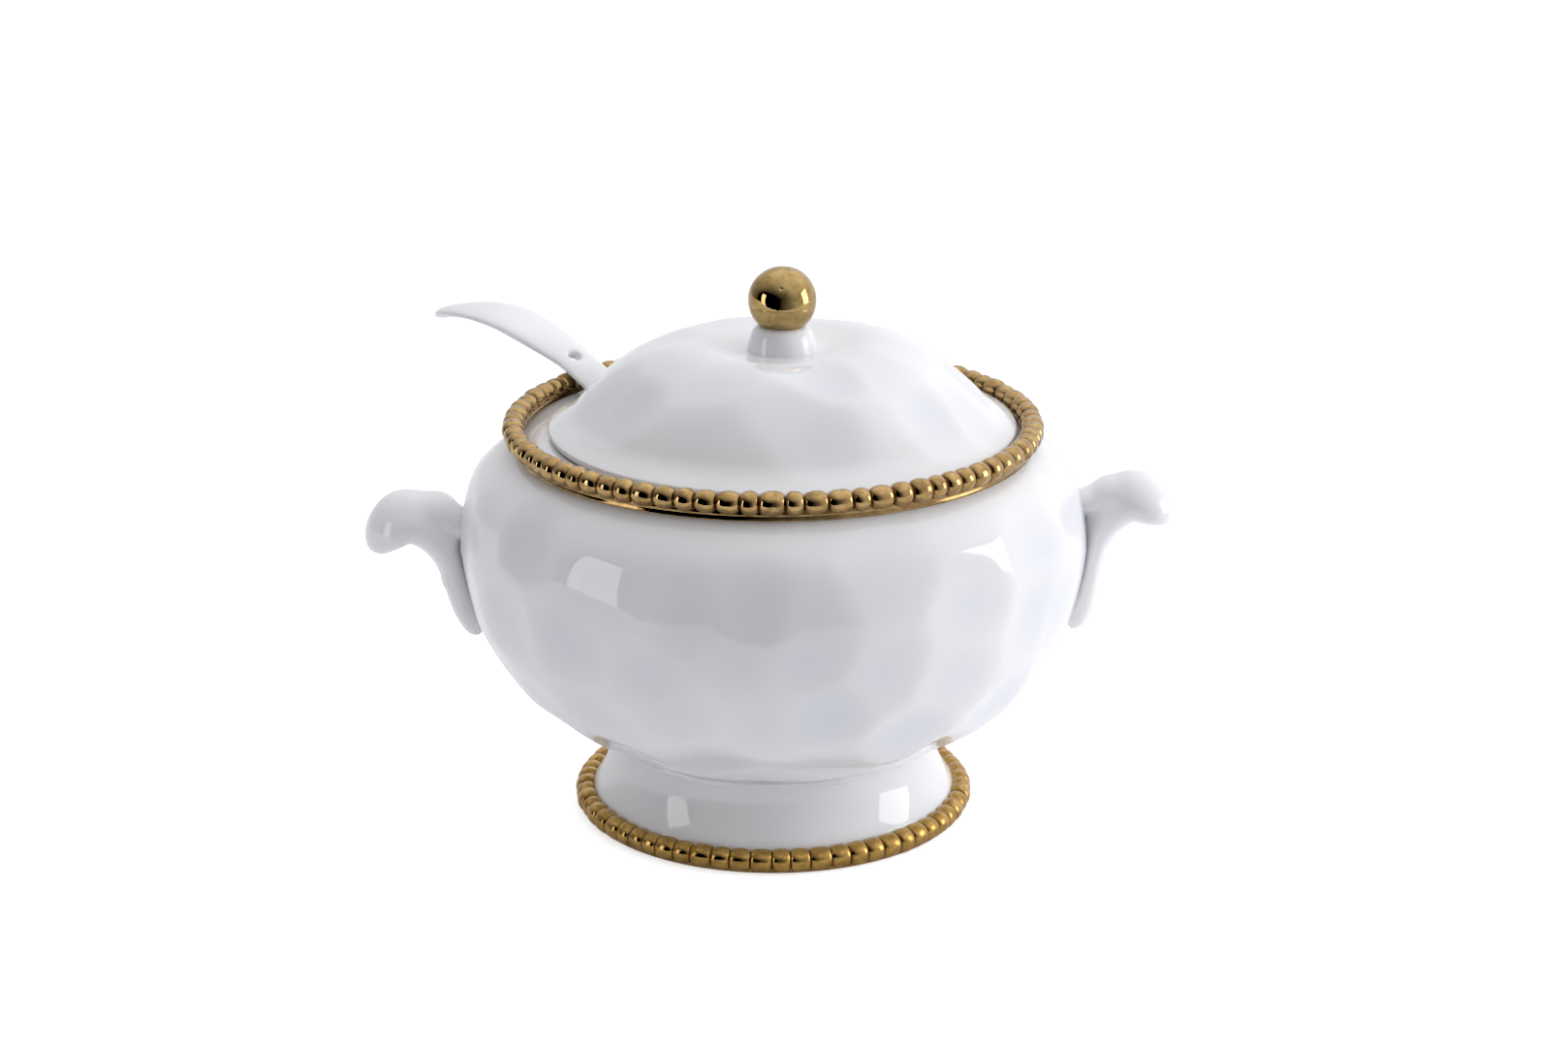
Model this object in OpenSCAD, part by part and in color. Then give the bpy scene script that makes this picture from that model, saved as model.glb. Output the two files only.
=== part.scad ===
// Footed porcelain soup tureen with two lug handles, a domed lid and a ladle.
// The bowl stands on its foot at z = 0 with its axis on the Z axis. The lug
// handles point along +X and -X, and the ladle leans out over the rim at the
// back, on the -X side.

/* [Bowl] */
// Largest outer radius of the belly
belly_r = 135.3; // [130:0.1:140]
// Height of the widest line of the belly
belly_z = 122; // [118:1:126]
// Height of the underside of the bowl, where the pedestal is luted on
base_z = 37; // [36:0.5:38]
// Height of the top of the shoulder, under the gallery
shoulder_z = 164.8; // [164:0.1:165.5]
// Thickness of the thrown wall
wall = 4.7; // [4:0.1:6]

/* [Gallery and rim] */
// Inner radius of the ledge that the lid sits on
gallery_r = 91; // [90:0.5:93]
// Height of the ledge's top face
gallery_z = 168.5; // [168:0.1:169]
// Inner radius of the upright collar round the ledge
collar_r = 105.5; // [105.2:0.1:105.8]
// Number of beads round the rim
rim_beads_n = 78; // [72:1:84]
// Radius of the circle that the rim beads are strung on
rim_bead_ring_r = 110.6; // [110.4:0.1:111]
// Radius of one rim bead
rim_bead_r = 5; // [4.8:0.1:5]

/* [Foot] */
// Outer radius of the pedestal at its narrow neck
neck_r = 71.5; // [70:0.5:72]
// Outer radius of the pedestal where it meets the foot ring
foot_r = 79; // [78:0.5:80]
// Number of beads round the foot
foot_beads_n = 63; // [58:1:68]
// Radius of the circle that the foot beads are strung on
foot_bead_ring_r = 82.1; // [81.5:0.1:82.5]
// Radius of one foot bead
foot_bead_r = 5.1; // [4.9:0.1:5.1]

/* [Lug handles] */
// How far the outer lip of a handle stands from the axis
handle_reach = 172.5; // [170:0.5:175]
// Width of the broad thumb rest
handle_w = 36; // [30:1:40]

/* [Lid] */
// Radius of the lid's brim
brim_r = 100.5; // [99.5:0.1:100.5]
// How far the loose lid sits off the bowl's axis, towards +X
lid_shift = 4; // [0:0.5:4]
// Height that the brim's flat seat floats over the ledge
seat_gap = 0.3; // [0.2:0.1:0.5]
// Height of the crown of the dome
crown_z = 208.3; // [205:0.1:211]
// Thickness of the lid's wall
lid_wall = 4.5; // [4:0.1:5]
// Outer radius of the locating flange under the lid
flange_r = 86.5; // [85:0.5:86.5]

/* [Knob] */
// Radius of the ball
ball_r = 14.3; // [13:0.1:15]
// Height of the ball's centre
ball_z = 226.3; // [225.5:0.1:227]

/* [Ladle] */
// Direction in which the ladle leans out, counted from +X towards +Y
ladle_azimuth = 143; // [141:1:145]
// Width of the ladle's handle where it passes through the notch
ladle_w = 20; // [18:0.5:21]
// Thickness of the ladle's handle
ladle_t = 5.5; // [5:0.1:5.8]
// Radius of the ladle's hanging hole
hang_hole_r = 2.75; // [2.5:0.25:3.5]
// Outer radius of the ladle's bowl
scoop_r = 35.9; // [33:0.1:37]
// Depth of the ladle's bowl
scoop_depth = 28; // [24:1:30]
// Width of the lid's notch for the ladle
notch_w = 30; // [28:1:32]

/* [Hidden] */

porcelain = "whitesmoke";
gold = "darkgoldenrod";
curve_steps = 12;
$fn = 96;

floor_t = 6;
belly_foot = [75, base_z + 1];
shoulder_r = 109.5;
mouth_r = 101;

collar_top_z = 170.5;
rim_bead_z = 171.8;
rim_core_r = 4.1;

foot_band_t = 3;
foot_inner_r = 72.5;
foot_bead_z = 5.2;
foot_core_r = 4.3;
neck_roll_r = 1.8;

brim_edge_r = 2;
flange_t = 4;
flange_bottom_z = 160;
dish_z = 204.3;
knob_foot_r = 14.6;
knob_neck_z = 215.5;

// The ladle's handle follows one long arc down into the bowl, and a shorter arc bends its leaf over.
// Both are stated in the upright plane through the axis at ladle_azimuth, as [distance out, height].
sweep_r = 180;
sweep_centre = [190, 19.8];
leaf_bend_r = 85;
leaf_start_deg = 107.5;
leaf_end_deg = 67;
leaf_w = 32;
leaf_t = ladle_t + 0.3;
scoop_wall = 3.5;
scoop_clear = 1;
hang_hole_deg = 115.9;
gallery_notch_depth = 9;
brim_notch_reach = 79;
flange_notch_reach = 70;
slot_bottom_z = 150;
slot_h = 50;
slot_run = 40;
hole_cut_l = 20;

scoop_bottom_z = base_z + floor_t + scoop_clear;
scoop_rim_z = scoop_bottom_z + scoop_depth;
scoop_centre_z = scoop_bottom_z + scoop_r;
scoop_wall_deg = 180 - asin((scoop_rim_z - sweep_centre[1]) / sweep_r);
scoop_x = sweep_centre[0] + sweep_r * cos(scoop_wall_deg) - scoop_r + scoop_wall;
leaf_centre = sweep_centre + (sweep_r - leaf_bend_r) * [cos(leaf_start_deg), sin(leaf_start_deg)];

// Points along a cubic curve with the four control points p.
function curve(p) = [
    for (i = [0:curve_steps])
        let (t = i / curve_steps, s = 1 - t)
        s * s * s * p[0] + 3 * s * s * t * p[1] + 3 * s * t * t * p[2] + t * t * t * p[3]
];

function reversed(list) = [for (i = [len(list) - 1:-1:0]) list[i]];

// Outer skin of the bowl, from the pedestal up to the shoulder.
function belly_outline() = concat(
    curve([belly_foot, [124, 53.5], [belly_r, belly_z - 17.5], [belly_r, belly_z]]),
    curve([[belly_r, belly_z], [belly_r, 150.5], [122.5, 159], [shoulder_r, shoulder_z]])
);

// Inner skin of the bowl, from the flat floor up to the mouth.
function inside_outline() = concat(
    curve([[58, base_z + floor_t], [112, 54], [belly_r - wall, belly_z - 20],
        [belly_r - wall, belly_z]]),
    curve([[belly_r - wall, belly_z], [belly_r - wall, 146.5], [118, 155.5], [mouth_r, 161.5]])
);

module revolve(outline) {
    rotate_extrude() polygon(outline);
}

// A torus with its centre circle of radius ring_r at height z.
module ring(ring_r, z, thick_r) {
    translate([0, 0, z]) rotate_extrude() translate([ring_r, 0]) circle(r = thick_r, $fn = 48);
}

// Round beads, evenly strung on a circle.
module beads(count, ring_r, z, bead_r) {
    for (i = [0:count - 1])
        rotate([0, 0, i * 360 / count]) translate([ring_r, 0, z]) sphere(r = bead_r, $fn = 32);
}

// Turns a drawing in the XZ plane round to the ladle's own upright plane.
module in_ladle_plane() {
    rotate([0, 0, ladle_azimuth]) children();
}

module bowl_shell() {
    color(porcelain) revolve(concat(
        [[0, base_z], [neck_r + 1, base_z]],
        belly_outline(),
        [[mouth_r, shoulder_z]],
        reversed(inside_outline()),
        [[0, base_z + floor_t]]
    ));
}

// Ledge inside the mouth. It is relieved on the ladle's side so that the ladle's handle clears it.
module lid_gallery() {
    edge = 0.8;
    color(porcelain) difference() {
        revolve([[gallery_r + edge, shoulder_z], [collar_r, shoulder_z], [collar_r, gallery_z],
            [gallery_r + edge, gallery_z], [gallery_r, gallery_z - edge],
            [gallery_r, shoulder_z + edge]]);
        in_ladle_plane() {
            half_w = notch_w / 2;
            reach = gallery_r + gallery_notch_depth;
            translate([reach - half_w, 0, shoulder_z - 1])
                cylinder(r = half_w, h = gallery_z - shoulder_z + 2);
        }
    }
}

// Upright band outside the ledge, which backs the beads.
module rim_collar() {
    edge = 1;
    color(gold) revolve([[collar_r, shoulder_z], [shoulder_r, shoulder_z],
        [shoulder_r - 0.7, collar_top_z - edge], [shoulder_r - 0.7 - edge, collar_top_z],
        [collar_r + edge, collar_top_z], [collar_r, collar_top_z - edge]]);
}

module rim_beads() {
    color(gold) {
        ring(rim_bead_ring_r, rim_bead_z, rim_core_r);
        beads(rim_beads_n, rim_bead_ring_r, rim_bead_z, rim_bead_r);
    }
}

// Hollow flared pedestal with a soft roll where it is luted to the bowl.
module pedestal_foot() {
    outside = curve([[neck_r, base_z - 1], [neck_r - 3, base_z - 9], [neck_r + 1, 18], [foot_r, 9]]);
    inside = curve([[foot_inner_r, foot_band_t], [69, 14], [65.5, 24], [65.5, base_z]]);
    color(porcelain) {
        revolve(concat(inside, [[neck_r, base_z]], outside, [[foot_r, foot_band_t]]));
        ring(neck_r + 0.4, base_z - neck_roll_r, neck_roll_r);
    }
}

// Gilded ring that the tureen stands on.
module foot_band() {
    edge = 1;
    outer_r = foot_bead_ring_r + 2;
    color(gold) revolve([[foot_inner_r + edge, 0], [outer_r - edge, 0], [outer_r, edge],
        [outer_r, foot_band_t], [foot_inner_r, foot_band_t], [foot_inner_r, edge]]);
}

module foot_beads() {
    color(gold) {
        ring(foot_bead_ring_r, foot_bead_z, foot_core_r);
        beads(foot_beads_n, foot_bead_ring_r, foot_bead_z, foot_bead_r);
    }
}

// One soft lump of clay: half sizes along the handle's thickness, width and length.
module lump(x, z, tilt, half_t, half_w, half_l) {
    translate([x, 0, z]) rotate([0, tilt, 0]) scale([half_t, half_w, half_l]) sphere(r = 1, $fn = 24);
}

// Lug handle on the +X side: a tail laid up the belly, curling out into a broad thumb rest.
module lug_handle() {
    lip = handle_reach;
    half_w = handle_w / 2;
    hull() {
        lump(lip - 41.5, 84, 12, 4.2, 6.5, 6);
        lump(lip - 38.5, 93, 12, 4.8, 8, 8);
    }
    hull() {
        lump(lip - 38.5, 93, 12, 4.8, 8, 8);
        lump(lip - 34.5, 107, 14, 5, 9, 8);
    }
    hull() {
        lump(lip - 34.5, 107, 14, 5, 9, 8);
        lump(lip - 30, 119, 25, 5.5, 11.5, 8);
    }
    hull() {
        lump(lip - 30, 119, 25, 5.5, 11.5, 8);
        lump(lip - 23.5, 130, 40, 8, 14.5, 9);
    }
    hull() {
        lump(lip - 34, 136, 60, 4, 9, 5);
        lump(lip - 23.5, 133, 50, 8, 14, 9);
        lump(lip - 19, 137.5, 80, 9, half_w - 1, 10);
    }
    hull() {
        lump(lip - 19, 137.5, 80, 9, half_w - 1, 10);
        lump(lip - 12, 135, 110, 9, half_w, 9);
    }
    hull() {
        lump(lip - 12, 135, 110, 9, half_w, 9);
        lump(lip - 7.5, 127.5, 160, 7.5, half_w - 3, 7);
    }
}

module right_handle() {
    color(porcelain) lug_handle();
}

module left_handle() {
    color(porcelain) mirror([1, 0, 0]) lug_handle();
}

// Upright slot for the ladle, open outwards, with its round inner end at the given reach.
module ladle_slot(reach) {
    half_w = notch_w / 2;
    in_ladle_plane() translate([reach + half_w, 0, slot_bottom_z]) {
        cylinder(r = half_w, h = slot_h);
        translate([0, -half_w, 0]) cube([slot_run, notch_w, slot_h]);
    }
}

module lid_shell() {
    seat_z = gallery_z + seat_gap;
    outside = concat(
        curve([[brim_r, seat_z + 2 * brim_edge_r - 0.8], [96.5, seat_z + 5.7], [91.5, 176.5],
            [87.5, 181.4]]),
        curve([[87.5, 181.4], [74.6, 196.7], [58, crown_z], [40, crown_z]]),
        curve([[40, crown_z], [31, crown_z], [24, dish_z], [0, dish_z]])
    );
    inside = concat(
        curve([[0, dish_z - lid_wall], [24, dish_z - lid_wall], [31, crown_z - lid_wall],
            [40, crown_z - lid_wall]]),
        curve([[40, crown_z - lid_wall], [56, crown_z - lid_wall], [71.5, 193.5], [84, 178.5]]),
        curve([[84, 178.5], [87, 175], [90, 172], [94, seat_z]])
    );
    color(porcelain) difference() {
        translate([lid_shift, 0, 0]) revolve(concat(
            outside,
            inside,
            [[brim_r - 1, seat_z], [brim_r, seat_z + 1]]
        ));
        ladle_slot(brim_notch_reach);
    }
}

// Locating flange, which drops inside the ledge.
module lid_flange() {
    edge = 1;
    top_z = 178;
    color(porcelain) difference() {
        translate([lid_shift, 0, 0]) revolve([
            [flange_r - flange_t, flange_bottom_z + edge], [flange_r - flange_t + edge, flange_bottom_z],
            [flange_r - edge, flange_bottom_z], [flange_r, flange_bottom_z + edge],
            [flange_r, top_z - 1], [flange_r - 1.5, top_z], [flange_r - flange_t, top_z]
        ]);
        ladle_slot(flange_notch_reach);
    }
}

// Flared white collar under the knob, hollowed to seat the ball.
module knob_collar() {
    outside = curve([[knob_foot_r, dish_z], [13.8, 207.5], [12.4, 211.5],
        [11.2, knob_neck_z]]);
    color(porcelain) difference() {
        translate([lid_shift, 0, 0]) revolve(concat([[0, dish_z]], outside, [[0, knob_neck_z]]));
        translate([lid_shift, 0, ball_z]) sphere(r = ball_r);
    }
}

module knob_ball() {
    color(gold) translate([lid_shift, 0, ball_z]) sphere(r = ball_r);
}

// Sweeps a flat strip round an arc about centre, between two angles counted from level.
module sweep_arc(centre, arc_r, from_deg, to_deg, thick) {
    translate([centre[0], 0, centre[1]]) rotate([90, 0, 0]) rotate([0, 0, from_deg])
        rotate_extrude(angle = to_deg - from_deg)
            translate([arc_r - thick / 2, -leaf_w / 2]) square([thick, leaf_w]);
}

// Plan outline of the handle: a straight stem that spreads into a broad pointed leaf.
module handle_outline() {
    half_w = ladle_w / 2;
    side = concat([[0, half_w]], curve([[112, half_w], [144, 17], [187, 13.5], [194, 0]]));
    mirrored = [for (p = reversed(side)) [p[0], -p[1]]];
    polygon(concat(side, mirrored));
}

module ladle_handle() {
    color(porcelain) in_ladle_plane() difference() {
        intersection() {
            union() {
                sweep_arc(sweep_centre, sweep_r, leaf_start_deg, scoop_wall_deg + 1.5, ladle_t);
                sweep_arc(leaf_centre, leaf_bend_r, leaf_end_deg, leaf_start_deg + 3, leaf_t);
            }
            linear_extrude(sweep_centre[1] + sweep_r + leaf_w) handle_outline();
        }
        translate([scoop_x, 0, scoop_centre_z]) sphere(r = scoop_r);
        translate([sweep_centre[0], 0, sweep_centre[1]]) rotate([0, 90 - hang_hole_deg, 0])
            translate([0, 0, sweep_r]) cylinder(r = hang_hole_r, h = hole_cut_l, center = true);
    }
}

module ladle_scoop() {
    rim_h = scoop_rim_z - scoop_centre_z;
    color(porcelain) in_ladle_plane() translate([scoop_x, 0, scoop_centre_z]) difference() {
        sphere(r = scoop_r);
        sphere(r = scoop_r - scoop_wall);
        translate([-2 * scoop_r, -2 * scoop_r, rim_h]) cube(4 * scoop_r);
    }
}

bowl_shell();
lid_gallery();
rim_collar();
rim_beads();
pedestal_foot();
foot_band();
foot_beads();
right_handle();
left_handle();
lid_shell();
lid_flange();
knob_collar();
knob_ball();
ladle_handle();
ladle_scoop();
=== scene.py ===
"""Footed porcelain soup tureen with gilded beading, two lug handles, a domed lid and a ladle.

Each sub-assembly is a class whose fields are its own sizes, in metres. The sizes that the frame
already settles, such as the rim's height, are read from the frame's boxes.
"""
import logging
import math
import random
from collections.abc import Iterable, Sequence
from dataclasses import dataclass
from enum import Enum

import bmesh
import bpy
from mathutils import Matrix, Vector, kdtree, noise

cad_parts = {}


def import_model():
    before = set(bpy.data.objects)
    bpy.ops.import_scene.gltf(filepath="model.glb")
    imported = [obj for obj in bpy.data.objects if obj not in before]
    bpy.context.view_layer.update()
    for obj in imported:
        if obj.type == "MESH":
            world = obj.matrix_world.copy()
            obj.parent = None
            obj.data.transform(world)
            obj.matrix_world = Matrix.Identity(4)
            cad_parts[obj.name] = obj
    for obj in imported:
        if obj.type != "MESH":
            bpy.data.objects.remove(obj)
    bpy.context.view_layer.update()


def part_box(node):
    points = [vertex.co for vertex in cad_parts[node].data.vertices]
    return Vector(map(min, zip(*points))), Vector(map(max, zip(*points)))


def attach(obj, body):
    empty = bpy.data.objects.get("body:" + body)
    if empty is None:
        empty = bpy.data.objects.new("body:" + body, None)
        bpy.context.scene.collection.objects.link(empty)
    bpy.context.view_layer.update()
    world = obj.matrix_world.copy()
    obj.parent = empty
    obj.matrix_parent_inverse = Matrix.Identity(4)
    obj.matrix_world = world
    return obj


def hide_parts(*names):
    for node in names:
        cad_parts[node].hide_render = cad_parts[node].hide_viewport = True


MM = 0.001
log = logging.getLogger("tureen")

Point = tuple[float, float]
Colour = tuple[float, float, float, float]


class Body(Enum):
    """The moving bodies that pieces ride on."""

    TUREEN = "tureen"
    LID = "lid"
    LADLE = "ladle"


# ---------------------------------------------------------------- outlines and meshes


def mm(points: Iterable[Point]) -> list[Point]:
    """Turns points written in millimetres into metres.

    Args:
        points: pairs of radius and height in millimetres.

    Returns:
        The same pairs in metres.
    """
    return [(r * MM, z * MM) for r, z in points]


def bezier(hull: Sequence[Point], count: int) -> list[Point]:
    """Walks along a cubic curve.

    Args:
        hull: the start, two handles and the end.
        count: how many steps to take.

    Returns:
        count + 1 points from the start to the end.
    """
    points = []
    for i in range(count + 1):
        t = i / count
        weights = ((1 - t) ** 3, 3 * t * (1 - t) ** 2, 3 * t * t * (1 - t), t ** 3)
        points.append(tuple(sum(w * p[k] for w, p in zip(weights, hull)) for k in (0, 1)))
    return points


def chain(*parts: Sequence[Point]) -> list[Point]:
    """Joins stretches of an outline end to end and drops the points that they share.

    Args:
        parts: stretches, each one starting where the last one ended.

    Returns:
        One list of points.
    """
    points: list[Point] = []
    for part in parts:
        for point in part:
            if not points or math.dist(points[-1], point) > 0.01 * MM:
                points.append(tuple(point))
    return points


def clay() -> bmesh.types.BMesh:
    """Starts an empty mesh whose points can say how far they were pressed in, which the gold finishes
    also use for painted shade.
    """
    bm = bmesh.new()
    bm.verts.layers.float.new("hollow")
    return bm


def lathe(bm: bmesh.types.BMesh, outline: Sequence[Point], steps: int, closed: bool = False,
          start: float = 0.0, sweep: float = math.tau) -> None:
    """Throws an outline round the upright axis, as on a potter's wheel.

    Args:
        bm: the mesh that receives the shape.
        outline: pairs of radius and height.
        steps: how many steps the turn takes.
        closed: whether the outline's last point joins its first.
        start: angle of the first section from +X.
        sweep: how far round to go; a full turn closes on itself.
    """
    turn = Matrix.Rotation(start, 3, "Z")
    verts = [bm.verts.new(turn @ Vector((r, 0, z))) for r, z in outline]
    pairs = list(zip(verts, verts[1:]))
    if closed:
        pairs.append((verts[-1], verts[0]))
    edges = [bm.edges.new(pair) for pair in pairs]
    full = abs(sweep - math.tau) < 1e-6
    result = bmesh.ops.spin(bm, geom=verts + edges, cent=(0, 0, 0), axis=(0, 0, 1), angle=sweep,
                            steps=steps, use_merge=full, use_duplicate=False)
    if closed and not full:
        bmesh.ops.contextual_create(bm, geom=verts)
        last = [v for v in result["geom_last"] if isinstance(v, bmesh.types.BMVert)]
        bmesh.ops.contextual_create(bm, geom=last)


def roll_ring(bm: bmesh.types.BMesh, middle: Point, thick: float, sides: int, steps: int) -> None:
    """Rolls a round coil of clay into a level ring about the upright axis.

    Args:
        bm: the mesh that receives it.
        middle: the middle of the coil's section, as radius and height.
        thick: the coil's own radius.
        sides: points round the coil.
        steps: sections round the ring.
    """
    upright = Matrix.Translation((middle[0], 0, middle[1])) @ Matrix.Rotation(math.pi / 2, 4, "X")
    made = bmesh.ops.create_circle(bm, cap_ends=False, segments=sides, radius=thick, matrix=upright)
    ring = made["verts"]
    edges = list({e for v in ring for e in v.link_edges})
    bmesh.ops.spin(bm, geom=ring + edges, cent=(0, 0, 0), axis=(0, 0, 1), angle=math.tau,
                   steps=steps, use_merge=True, use_duplicate=False)


def clean(bm: bmesh.types.BMesh) -> None:
    """Merges points that coincide, such as those on the axis, and turns the faces outwards.

    Args:
        bm: the mesh to clean.
    """
    bmesh.ops.remove_doubles(bm, verts=bm.verts, dist=0.002 * MM)
    bmesh.ops.dissolve_degenerate(bm, edges=bm.edges, dist=0.001 * MM)
    bmesh.ops.recalc_face_normals(bm, faces=bm.faces)
    bm.normal_update()


def loft(bm: bmesh.types.BMesh, rings: Sequence[Sequence[bmesh.types.BMVert]]) -> None:
    """Skins a row of rings with equal numbers of points and caps both ends.

    Args:
        bm: the mesh that holds the rings.
        rings: the rings' points, in order round each ring.
    """
    loops = []
    for ring in rings:
        verts = set(ring)
        loops.append(list({e for v in ring for e in v.link_edges if set(e.verts) <= verts}))
    for low, high in zip(loops, loops[1:]):
        bmesh.ops.bridge_loops(bm, edges=low + high)
    for ring in (rings[0], rings[-1]):
        bmesh.ops.contextual_create(bm, geom=list(ring))


def bake_modifiers(piece: bpy.types.Object) -> None:
    """Writes a piece's modifiers into its mesh and removes them.

    Args:
        piece: the object to bake.
    """
    bpy.context.view_layer.update()
    shaped = piece.evaluated_get(bpy.context.evaluated_depsgraph_get())
    baked = bpy.data.meshes.new_from_object(shaped)
    piece.modifiers.clear()
    piece.data = baked


def smooth_faces(mesh: bpy.types.Mesh) -> None:
    """Shades every face of a mesh smoothly."""
    mesh.polygons.foreach_set("use_smooth", [True] * len(mesh.polygons))
    mesh.update()


def make_piece(bm: bmesh.types.BMesh, name: str) -> bpy.types.Object:
    """Turns a finished bmesh into an object at the origin.

    Args:
        bm: the mesh, which is freed.
        name: the new object's name.

    Returns:
        The new object, smoothly shaded.
    """
    mesh = bpy.data.meshes.new(name)
    bm.to_mesh(mesh)
    bm.free()
    smooth_faces(mesh)
    piece = bpy.data.objects.new(name, mesh)
    bpy.context.scene.collection.objects.link(piece)
    return piece


def soften(piece: bpy.types.Object, levels: int = 1) -> None:
    """Adds a live subdivision surface, the same in view and render.

    Args:
        piece: the object to soften.
        levels: how often each face is split.
    """
    subdivide = piece.modifiers.new("soften", "SUBSURF")
    subdivide.levels = levels
    subdivide.render_levels = levels


def dress(piece: bpy.types.Object, finish: bpy.types.Material, body: Body, node: str) -> None:
    """Gives a piece its finish, its body and the frame node that it stands for.

    Args:
        piece: the object.
        finish: its material.
        body: the body that it rides on.
        node: the frame node that it replaces, which is hidden.
    """
    piece.data.materials.clear()
    piece.data.materials.append(finish)
    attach(piece, body.value)
    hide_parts(node)
    log.info("%s: %d faces, rides on %s", piece.name, len(piece.data.polygons), body.value)


# ---------------------------------------------------------------- hand marks


@dataclass(frozen=True)
class Dents:
    """Shallow hollows pressed by hand all over a soft clay skin, with blunt ridges between them."""

    spacing: float
    reach: float
    depth: float
    seed: int
    ridge: float = 0.20 * MM
    row_gap: float = 0.87
    stray: float = 0.38
    drift: float = 0.34
    shallow: float = 0.25
    deep: float = 1.2

    def centres(self, outline: Sequence[Point]) -> list[tuple[Vector, float]]:
        """Scatters the hollows in staggered rows over a turned skin.

        Args:
            outline: the stretch of the outline that carries them.

        Returns:
            Each hollow's middle and its depth.
        """
        rng = random.Random(self.seed)
        found = []
        walked = self.spacing / 2
        for (r0, z0), (r1, z1) in zip(outline, outline[1:]):
            walked += math.dist((r0, z0), (r1, z1))
            if walked < self.spacing * self.row_gap:
                continue
            walked = 0.0
            count = max(4, round(math.tau * r1 / self.spacing))
            phase = rng.random()
            for k in range(count):
                angle = math.tau * (k + phase + rng.uniform(-self.stray, self.stray)) / count
                shift = rng.uniform(-self.drift, self.drift) * self.spacing
                slope = math.atan2(z1 - z0, r1 - r0)
                r = r1 + shift * math.cos(slope)
                z = z1 + shift * math.sin(slope)
                middle = Vector((r * math.cos(angle), r * math.sin(angle), z))
                found.append((middle, self.depth * rng.uniform(self.shallow, self.deep)))
        return found

    def press(self, bm: bmesh.types.BMesh, verts: Iterable[bmesh.types.BMVert],
              centres: Sequence[tuple[Vector, float]]) -> None:
        """Pushes a skin in at each hollow, and keeps how far in the layer named hollow.

        Args:
            bm: the mesh.
            verts: the skin's own points.
            centres: each hollow's middle and depth.
        """
        layer = bm.verts.layers.float["hollow"]
        tree = kdtree.KDTree(len(centres))
        for index, (middle, _) in enumerate(centres):
            tree.insert(middle, index)
        tree.balance()
        for vert in verts:
            total = 1.0
            for _, index, distance in tree.find_range(vert.co, self.reach):
                share = 1 - (distance / self.reach) ** 2
                total += math.exp(centres[index][1] * share ** 1.5 / self.ridge) - 1
            push = self.ridge * math.log(total)
            vert.co -= vert.normal * push
            vert[layer] = min(1.0, push / self.depth)


def wobble(verts: Iterable[bmesh.types.BMVert], size: float, height: float, seed: float) -> None:
    """Moves a skin in and out a little, as hand-thrown clay does.

    Args:
        verts: the skin's points.
        size: how far apart the swellings are.
        height: how far they stand out.
        seed: which pattern to take.
    """
    offset = Vector((seed, -seed, seed * 0.5))
    for vert in verts:
        vert.co += vert.normal * height * noise.noise(vert.co / size + offset)


# ---------------------------------------------------------------- finishes


def srgb(code: str) -> Colour:
    """Turns an sRGB hex value such as #FFFFFF into a linear colour.

    Args:
        code: the hex value.

    Returns:
        Red, green, blue and alpha, linear.
    """
    def linear(part: str) -> float:
        """Turns two hex digits into one linear channel."""
        value = int(part, 16) / 255
        return value / 12.92 if value <= 0.04045 else ((value + 0.055) / 1.055) ** 2.4

    return linear(code[1:3]), linear(code[3:5]), linear(code[5:7]), 1.0


def add_node(tree: bpy.types.NodeTree, kind: str, settings: dict | None = None,
             links: dict | None = None) -> bpy.types.Node:
    """Adds one node with its settings and its links.

    Args:
        tree: the node tree.
        kind: the node's type, without the ShaderNode that every kind starts with.
        settings: values by property name, or by input name or number.
        links: outputs by the name or number of the input that they feed.

    Returns:
        The new node.
    """
    node = tree.nodes.new(f"ShaderNode{kind}")
    for key, value in (settings or {}).items():
        if isinstance(key, int) or key in node.inputs:
            node.inputs[key].default_value = value
        else:
            setattr(node, key, value)
    for key, output in (links or {}).items():
        tree.links.new(output, node.inputs[key])
    return node


def blank_material(name: str) -> tuple[bpy.types.Material, bpy.types.NodeTree, bpy.types.NodeSocket]:
    """Starts a node material.

    Args:
        name: the material's name.

    Returns:
        The material, its empty node tree and the object coordinates in metres.
    """
    material = bpy.data.materials.new(name)
    material.use_nodes = True
    tree = material.node_tree
    tree.nodes.clear()
    return material, tree, add_node(tree, "TexCoord").outputs["Object"]


def per_metre(size: float) -> float:
    """Turns a pattern's real size in metres into a texture scale."""
    return 1.0 / size


def spots(tree: bpy.types.NodeTree, place: bpy.types.NodeSocket, spacing: float, radius: float,
          core: float) -> bpy.types.NodeSocket:
    """Scatters small round faults over a surface.

    Args:
        tree: the node tree.
        place: the object coordinates.
        spacing: how far apart the faults are.
        radius: how large each one is.
        core: the share of the radius that is wholly bare.

    Returns:
        A mask, 1 inside a fault.
    """
    cells = add_node(tree, "TexVoronoi", {"Scale": per_metre(spacing)}, {"Vector": place})
    edge = {"From Min": core * radius / spacing, "From Max": radius / spacing,
            "To Min": 1.0, "To Max": 0.0}
    return add_node(tree, "MapRange", edge, {"Value": cells.outputs["Distance"]}).outputs[0]


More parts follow.
